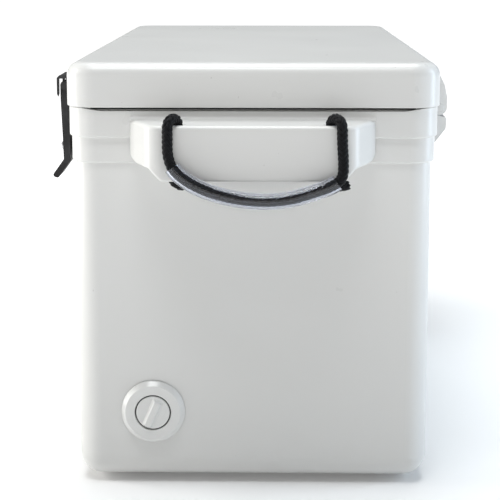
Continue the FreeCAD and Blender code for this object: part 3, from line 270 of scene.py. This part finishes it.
# The short end of rope that leaves the right knot, measured from the hole.
KNOT_END = [(0.006, -0.004, -0.0060), (0.013, -0.002, -0.0065), (0.0205, 0.0, -0.0050)]


def knot_route(hole, with_end):
    """The rope wound round itself under its hole, and the short end that comes out of it."""
    x, y, _ = hole
    points = [Vector((x, y, KNOT_TOP + KNOT_LEAD))]
    for step in range(KNOT_STEPS + 1):
        share = step / KNOT_STEPS
        angle = FULL_TURN * KNOT_TURNS * share + KNOT_START_ANGLE
        points.append(Vector((x + KNOT_COIL * math.cos(angle), y + KNOT_COIL * math.sin(angle),
                              KNOT_TOP + (KNOT_BOTTOM - KNOT_TOP) * share)))
    if with_end:
        points += [Vector(hole) + Vector(place) for place in KNOT_END]
    else:
        points.append(Vector((x, y, KNOT_BOTTOM + KNOT_TUCK)))
    return points


def make_knots(word, turn):
    knots = []
    for side, hole, with_end in (("left", ROPE_ROUTE[0], False), ("right", ROPE_ROUTE[-1], True)):
        line = turned_about(smooth_line(knot_route(hole, with_end)), turn)
        knot = braided(f"{word}_{side}_knot", line, KNOT_ROPE_RADIUS)
        knot.data.materials.append(materials["rope"])
        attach(knot, "cooler_body")
        knots.append(knot)
    return knots


def make_ropes():
    route, _ = evenly(smooth_line(ROPE_ROUTE), ROPE_STEP)
    for word, turn in ENDS:
        line = turned_about(route, turn)
        rope = braided(word + "_rope", line, ROPE_RADIUS)
        rope.data.materials.append(materials["rope"])
        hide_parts(word + "_rope_tails", word + "_rope_bends", word + "_rope_loop")
        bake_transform(rope)
        make_knots(word, turn)


# ---------------------------------------------------------------- materials

def new_material(name):
    material = bpy.data.materials.new(name)
    material.use_nodes = True
    return material, material.node_tree, material.node_tree.nodes["Principled BSDF"]


def add_node(tree, kind, **values):
    node = tree.nodes.new(kind)
    for name, value in values.items():
        node.inputs[name.replace("_", " ")].default_value = value
    return node


def noise(tree, scale, detail=3.0, stretch=None):
    """Noise in the object's own metres; stretch squeezes it along some directions."""
    texture = add_node(tree, "ShaderNodeTexNoise", Scale=scale, Detail=detail, Roughness=0.55)
    coordinates = tree.nodes.new("ShaderNodeTexCoord")
    source = coordinates.outputs["Object"]
    if stretch:
        mapping = add_node(tree, "ShaderNodeMapping", Scale=stretch)
        tree.links.new(source, mapping.inputs["Vector"])
        source = mapping.outputs["Vector"]
    tree.links.new(source, texture.inputs["Vector"])
    return texture.outputs["Fac"]


def spread(tree, source, low=0, high=1, start=0.3, end=0.7):
    """Maps a value between start and end onto low to high."""
    node = add_node(tree, "ShaderNodeMapRange")
    for name, value in (("From Min", start), ("From Max", end), ("To Min", low), ("To Max", high)):
        node.inputs[name].default_value = value
    tree.links.new(source, node.inputs["Value"])
    return node.outputs["Result"]


def mixed(tree, factor, first, second):
    """A colour between two colours, or between a socket's colour and another."""
    node = tree.nodes.new("ShaderNodeMix")
    node.data_type = "RGBA"
    tree.links.new(factor, node.inputs["Factor"])
    colour_inputs = [socket for socket in node.inputs if socket.type == "RGBA"]
    colour_output = next(socket for socket in node.outputs if socket.type == "RGBA")
    for socket, colour in zip(colour_inputs, (first, second)):
        if isinstance(colour, bpy.types.NodeSocket):
            tree.links.new(colour, socket)
        else:
            socket.default_value = (*colour, 1)
    return colour_output


def coloured(tree, shader, factor, first, second):
    tree.links.new(mixed(tree, factor, first, second), shader.inputs["Base Color"])


def roughened(tree, shader, source, low, high, start=0.3, end=0.7):
    tree.links.new(spread(tree, source, low, high, start, end), shader.inputs["Roughness"])


def bumped(tree, shader, *layers):
    """Adds bump layers to a shader, each a height and its depth in metres."""
    previous = None
    for height, depth in layers:
        bump = add_node(tree, "ShaderNodeBump", Strength=1.0, Distance=depth)
        tree.links.new(height, bump.inputs["Height"])
        if previous:
            tree.links.new(previous, bump.inputs["Normal"])
        previous = bump.outputs["Normal"]
    tree.links.new(previous, shader.inputs["Normal"])


SPECK_COLOUR = (0.42, 0.41, 0.39)


def moulded_white(name, light, shade, gloss):
    """Moulded polyethylene: faint mottling, soft orange peel and a few dust specks."""
    material, tree, shader = new_material(name)
    mottling = spread(tree, noise(tree, scale=5, detail=1.0), start=0.25, end=0.75)
    specks = spread(tree, noise(tree, scale=260, detail=1.0), high=0.6, start=0.79, end=0.83)
    coloured(tree, shader, specks, mixed(tree, mottling, light, shade), SPECK_COLOUR)
    roughened(tree, shader, noise(tree, scale=9, detail=4.0), gloss, gloss + 0.05, start=0.25, end=0.75)
    orange_peel = noise(tree, scale=420, detail=2.0)
    waviness = noise(tree, scale=8, detail=0.0)
    bumped(tree, shader, (orange_peel, 0.000015), (waviness, 0.00012))
    return material


def black_moulded(name, colour, roughness, grain, depth):
    """Black or grey rubber or plastic with a fine grain and paler worn patches."""
    material, tree, shader = new_material(name)
    worn = tuple(channel * 2.2 + 0.01 for channel in colour)
    patches = spread(tree, noise(tree, scale=45, detail=5.0), start=0.42, end=0.75)
    coloured(tree, shader, patches, colour, worn)
    roughened(tree, shader, noise(tree, scale=120), roughness - 0.08, roughness + 0.12)
    shader.inputs["Specular IOR Level"].default_value = 0.35
    bumped(tree, shader, (noise(tree, scale=grain, detail=2.0), depth))
    return material


def rope_fibre(name):
    """Black polyester yarn: fine filaments and a little dust."""
    material, tree, shader = new_material(name)
    dust = spread(tree, noise(tree, scale=380, detail=4.0), start=0.45, end=0.8)
    coloured(tree, shader, dust, (0.004, 0.004, 0.005), (0.014, 0.015, 0.017))
    roughened(tree, shader, noise(tree, scale=900), 0.42, 0.7)
    shader.inputs["Specular IOR Level"].default_value = 0.14
    bumped(tree, shader, (noise(tree, scale=2600, detail=2.0), 0.00012))
    return material


def clear_vinyl(name):
    """Clear hose with a bluish tint, uneven gloss and a slightly wavy surface."""
    material, tree, shader = new_material(name)
    haze = spread(tree, noise(tree, scale=60))
    coloured(tree, shader, haze, (0.84, 0.87, 0.96), (0.78, 0.82, 0.93))
    roughened(tree, shader, noise(tree, scale=60, detail=2.0), 0.03, 0.055)
    shader.inputs["Transmission Weight"].default_value = 1.0
    shader.inputs["IOR"].default_value = 1.45
    bumped(tree, shader, (noise(tree, scale=30, detail=0.0), 0.00002))
    return material


def brushed_steel(name):
    """Stainless steel with fine brushing and dull spots."""
    material, tree, shader = new_material(name)
    shader.inputs["Metallic"].default_value = 1.0
    dulling = spread(tree, noise(tree, scale=200))
    coloured(tree, shader, dulling, (0.66, 0.66, 0.67), (0.48, 0.48, 0.50))
    roughened(tree, shader, noise(tree, scale=500, detail=3.0, stretch=(1, 1, 12)), 0.2, 0.42)
    bumped(tree, shader, (noise(tree, scale=700, detail=2.0, stretch=(1, 1, 10)), 0.00002))
    return material


def poured_foam(name):
    """Yellowish open foam, hidden between the skins."""
    material, tree, shader = new_material(name)
    cells = spread(tree, noise(tree, scale=300))
    coloured(tree, shader, cells, (0.80, 0.70, 0.42), (0.62, 0.52, 0.28))
    roughened(tree, shader, noise(tree, scale=500), 0.75, 0.95)
    bumped(tree, shader, (noise(tree, scale=900, detail=3.0), 0.0004))
    return material


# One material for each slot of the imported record.
materials = {
    "white_shell": moulded_white("shell_plastic", (0.665, 0.663, 0.650), (0.655, 0.655, 0.645), 0.27),
    "white_liner": moulded_white("liner_plastic", (0.66, 0.66, 0.65), (0.645, 0.645, 0.637), 0.36),
    "white_fitting": moulded_white("fitting_plastic", (0.69, 0.69, 0.68), (0.68, 0.68, 0.672), 0.22),
    "foam": poured_foam("poured_foam"),
    "black_rubber": black_moulded("black_rubber", (0.012, 0.012, 0.013), 0.52, 900, 0.00006),
    "black_plastic": black_moulded("black_plastic", (0.014, 0.014, 0.015), 0.38, 1400, 0.00003),
    "steel": brushed_steel("stainless_steel"),
    "rope": rope_fibre("rope_fibre"),
    "clear_sleeve": clear_vinyl("clear_vinyl"),
    "wheel_grey": black_moulded("wheel_plastic", (0.10, 0.10, 0.11), 0.42, 1200, 0.00004),
    "tyre": black_moulded("tyre_rubber", (0.016, 0.016, 0.016), 0.68, 700, 0.00012),
}


def dress_cad_nodes():
    """Gives every CAD node the material of its slot."""
    for part in frame["record"]["subparts"]:
        mesh = frame["nodes"][part["node"]].data
        mesh.materials.clear()
        mesh.materials.append(materials[part["material_slot"]])


# ---------------------------------------------------------------- grip sleeves

SLEEVE_RADIUS = 0.00925
SLEEVE_BORE = 0.0063
SLEEVE_AROUND = 48
SLEEVE_STEP = 0.003
SEARCH_STEP = 0.0005
# The sleeve covers the rope between the points of its line nearest to these places.
SLEEVE_START = (-0.0895, -0.4775, 0.4025)
SLEEVE_END = (0.0965, -0.4775, 0.3855)


def covered_line():
    """The stretch of the rope's line that a sleeve covers."""
    fine, _ = evenly(smooth_line(ROPE_ROUTE), SEARCH_STEP)
    first, last = (int(np.argmin(np.linalg.norm(fine - np.array(place), axis=1)))
                   for place in (SLEEVE_START, SLEEVE_END))
    covered, _ = evenly(fine[first:last + 1], SLEEVE_STEP)
    return covered


def make_sleeves():
    """A thin clear hose round each handle's rope, with its bore open at both ends."""
    covered = covered_line()
    for word, turn in ENDS:
        line = turned_about(covered, turn)
        sides, normals = frames_along(line)
        # The rings run along the outside, and back through the bore.
        rings = [(index, SLEEVE_RADIUS) for index in range(len(line))]
        rings += [(index, SLEEVE_BORE) for index in reversed(range(len(line)))]
        points = []
        for index, radius in rings:
            for corner in range(SLEEVE_AROUND):
                angle = FULL_TURN * corner / SLEEVE_AROUND
                points.append(line[index] + radius * (sides[index] * math.cos(angle)
                                                      + normals[index] * math.sin(angle)))
        sleeve = mesh_object(word + "_sleeve", points, looped_faces(len(rings), SLEEVE_AROUND), 50)
        sleeve.data.materials.append(materials["clear_sleeve"])
        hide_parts(word + "_grip_sleeve")
        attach(sleeve, word + "_handle")


# ---------------------------------------------------------------- drain plug, and its seal with a lip of painted shade

# The plug's own axis, radius and front come from its CAD solid; its bar is that solid's front end.
plug_low, plug_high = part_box("drain_plug")
PLUG_AXIS = ((plug_low[0] + plug_high[0]) / 2, (plug_low[2] + plug_high[2]) / 2)
PLUG_RADIUS = (plug_high[0] - plug_low[0]) / 2
CAD_BAR_PROUD = 0.005
PLUG_FACE = plug_low[1] + CAD_BAR_PROUD
PLUG_BACK = plug_high[1]
PLUG_AROUND = 160
RIM_ROUND = 0.0012
RIM_STEPS = 6
FACE_RINGS = 48
FACE_DISH = 0.0006
SKIRT_DEPTH = 0.0110
SKIRT_CHAMFER = (0.0005, 0.0002)
NECK_RADIUS = 0.0082
NECK_LENGTH = 0.0024
THREAD_PITCH = 0.004
THREAD_ROOT = 0.0096
THREAD_RISE = 0.0009
THREAD_STEP = 0.0004
THREAD_RINGS = 58
TIP_RADIUS = 0.0078
SMALLEST_RING = 0.0004

BAR_LEAN = math.radians(23)
BAR_RISE = 0.0048
BAR_TOP_HALF = 0.0030
BAR_FOOT_HALF = 0.0068
BAR_UPPER_END = (0.0135, 0.0172)
BAR_LOWER_END = (0.0165, 0.0198)

SEAL_AROUND = 96
SEAL_BORE = 0.0085
SEAL_THICKNESS = 0.0012
SEAL_FRONT = 0.0115
LIP_INSIDE = 0.0203
LIP_OUTSIDE = 0.0213
LIP_FRONT = 0.0018
LIP_CHAMFER = (0.0003, 0.0004)


def turned_points(rings, around):
    """Points about the drain's axis, from rings that each give (radius, y) at an angle."""
    points = []
    for ring in rings:
        for step in range(around):
            angle = FULL_TURN * step / around
            radius, y = ring(angle)
            points.append((PLUG_AXIS[0] + radius * math.sin(angle), y,
                           PLUG_AXIS[1] + radius * math.cos(angle)))
    return points


def ramp(value, start, end):
    """Goes smoothly from 0 at start to 1 at end."""
    share = min(1.0, max(0.0, (value - start) / (end - start)))
    return share * share * (3 - 2 * share)


def plain_ring(radius, y):
    return lambda angle: (radius, y)


def front_ring(radius):
    """A ring of the plug's front face, raised where the finger bar crosses it."""
    def ring(angle):
        across = abs(radius * math.sin(angle - BAR_LEAN))
        along = radius * math.cos(angle - BAR_LEAN)
        rise = 1 - ramp(across, BAR_TOP_HALF, BAR_FOOT_HALF)
        rise *= 1 - ramp(along, *BAR_UPPER_END)
        rise *= 1 - ramp(-along, *BAR_LOWER_END)
        dish = FACE_DISH * (1 - (radius / PLUG_RADIUS) ** 2)
        return radius, PLUG_FACE + dish - BAR_RISE * rise
    return ring


def thread_ring(y):
    """A ring of the plug's screw thread."""
    def ring(angle):
        turn = (y / THREAD_PITCH + angle / FULL_TURN) % 1.0
        return THREAD_ROOT + THREAD_RISE * ramp(abs(2 * turn - 1), 0.25, 0.75), y
    return ring


def rim_ring(share):
    """A ring of the rounded edge between the front face and the skirt."""
    bend = math.pi / 2 * share
    return plain_ring(PLUG_RADIUS - RIM_ROUND * (1 - math.sin(bend)),
                      PLUG_FACE + RIM_ROUND * (1 - math.cos(bend)))


def make_plug():
    """The screw plug: face with its finger bar, skirt, neck, thread and tip."""
    face_radius = PLUG_RADIUS - RIM_ROUND
    chamfer, depth = SKIRT_CHAMFER
    skirt_end = PLUG_FACE + SKIRT_DEPTH
    neck_start = skirt_end + depth
    thread_start = neck_start + NECK_LENGTH
    rings = [front_ring(face_radius * (step + 0.5) / (FACE_RINGS - 0.5)) for step in range(FACE_RINGS)]
    rings += [rim_ring(step / RIM_STEPS) for step in range(1, RIM_STEPS + 1)]
    rings += [plain_ring(PLUG_RADIUS, skirt_end), plain_ring(PLUG_RADIUS - chamfer, neck_start)]
    rings += [plain_ring(NECK_RADIUS, neck_start), plain_ring(NECK_RADIUS, thread_start)]
    rings += [thread_ring(thread_start + THREAD_STEP * step) for step in range(THREAD_RINGS)]
    rings += [plain_ring(TIP_RADIUS, PLUG_BACK), plain_ring(SMALLEST_RING, PLUG_BACK)]
    plug = mesh_object("drain_screw_plug", turned_points(rings, PLUG_AROUND),
                       tube_faces(0, len(rings), PLUG_AROUND), 60)
    plug.data.materials.append(materials["white_fitting"])
    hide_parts("drain_plug")
    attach(plug, "drain_cap")


def make_plug_seal_and_shade_lip():
    """A black rubber washer whose lip stands up round the plug's skirt and fills the gap round it with
    black: partly a seal, partly painted shade in that gap.
    """
    front = PLUG_FACE + SEAL_FRONT
    back = front + SEAL_THICKNESS
    lip = PLUG_FACE + LIP_FRONT
    chamfer, depth = LIP_CHAMFER
    # The black lip fills the gap round the plug's skirt and darkens it: painted shade in that gap.
    outline = [(SEAL_BORE, front), (LIP_INSIDE, front), (LIP_INSIDE, lip + depth),
               (LIP_INSIDE + chamfer, lip), (LIP_OUTSIDE - chamfer, lip), (LIP_OUTSIDE, lip + depth),
               (LIP_OUTSIDE, back), (SEAL_BORE, back)]
    rings = [plain_ring(*corner) for corner in outline]
    seal = mesh_object("drain_seal_and_shade_lip", turned_points(rings, SEAL_AROUND),
                       looped_faces(len(rings), SEAL_AROUND), 40)
    seal.data.materials.append(materials["black_rubber"])
    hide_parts("drain_washer")
    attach(seal, "drain_seal_carrier")


make_ropes()
make_sleeves()
make_plug()
make_plug_seal_and_shade_lip()
dress_cad_nodes()


# ---------------------------------------------------------------- room and light

FLOOR_HALF = 30
# The floor glows by itself as painted light, more so away from the cooler: its dim glow near the cooler
# is painted shade round it, and its bright glow far off paints the backdrop white.
GLOW_NEAR = 0.08
GLOW_FAR = 0.95
GLOW_STARTS = 0.55
GLOW_FULL = 2.4
SKY_STRENGTH = 0.17
LIT_PLACE = (0, 0, 0.3)
# Each softbox has a name, place, size, watts and colour, and points at the lit place.
SOFTBOXES = (
    ("top_softbox", (0, 0.2, 3.0), (1.8, 1.8), 55, (0.97, 0.995, 1.0)),
    ("key_softbox", (-0.3, -1.3, 3.0), (1.4, 0.5), 30, (0.97, 0.99, 1.0)),
    ("front_softbox", (-0.2, -3.2, 0.9), (1.8, 0.9), 5, (1.0, 0.98, 0.93)),
    ("left_softbox", (-2.6, -0.22, 0.9), (1.0, 2.2), 57, (1.0, 0.99, 0.95)),
    ("right_softbox", (2.6, -0.2, 0.9), (0.9, 2.2), 40, (0.70, 0.85, 1.0)),
)


def make_floor():
    corners = [(-FLOOR_HALF, -FLOOR_HALF, 0), (FLOOR_HALF, -FLOOR_HALF, 0),
               (FLOOR_HALF, FLOOR_HALF, 0), (-FLOOR_HALF, FLOOR_HALF, 0)]
    floor = mesh_object("floor", corners, [(0, 1, 2, 3)])
    material, tree, shader = new_material("pale_floor")
    coloured(tree, shader, spread(tree, noise(tree, scale=2)), (0.88, 0.88, 0.88), (0.87, 0.87, 0.87))
    shader.inputs["Roughness"].default_value = 0.9
    shader.inputs["Emission Color"].default_value = (1, 1, 1, 1)
    coordinates = tree.nodes.new("ShaderNodeTexCoord")
    distance = tree.nodes.new("ShaderNodeVectorMath")
    distance.operation = "LENGTH"
    tree.links.new(coordinates.outputs["Object"], distance.inputs[0])
    # Painted light: emission that is dim near the cooler as painted shade round it, and bright far away
    # as a painted white backdrop.
    glow = spread(tree, distance.outputs["Value"], GLOW_NEAR, GLOW_FAR, GLOW_STARTS, GLOW_FULL)
    tree.links.new(glow, shader.inputs["Emission Strength"])
    floor.data.materials.append(material)


def area_light(name, place, size, watts, colour):
    data = bpy.data.lights.new(name, "AREA")
    data.shape = "RECTANGLE"
    data.size, data.size_y = size
    data.energy = watts
    data.color = colour
    light = add_object(name, data)
    light.location = place
    light.rotation_euler = (Vector(LIT_PLACE) - Vector(place)).to_track_quat("-Z", "Y").to_euler()


def make_lights():
    world = bpy.data.worlds.new("studio")
    bpy.context.scene.world = world
    world.use_nodes = True
    background = world.node_tree.nodes["Background"]
    background.inputs["Color"].default_value = (1.0, 1.0, 1.0, 1)
    background.inputs["Strength"].default_value = SKY_STRENGTH
    for softbox in SOFTBOXES:
        area_light(*softbox)


make_floor()
make_lights()
bpy.context.scene.view_settings.view_transform = "Standard"
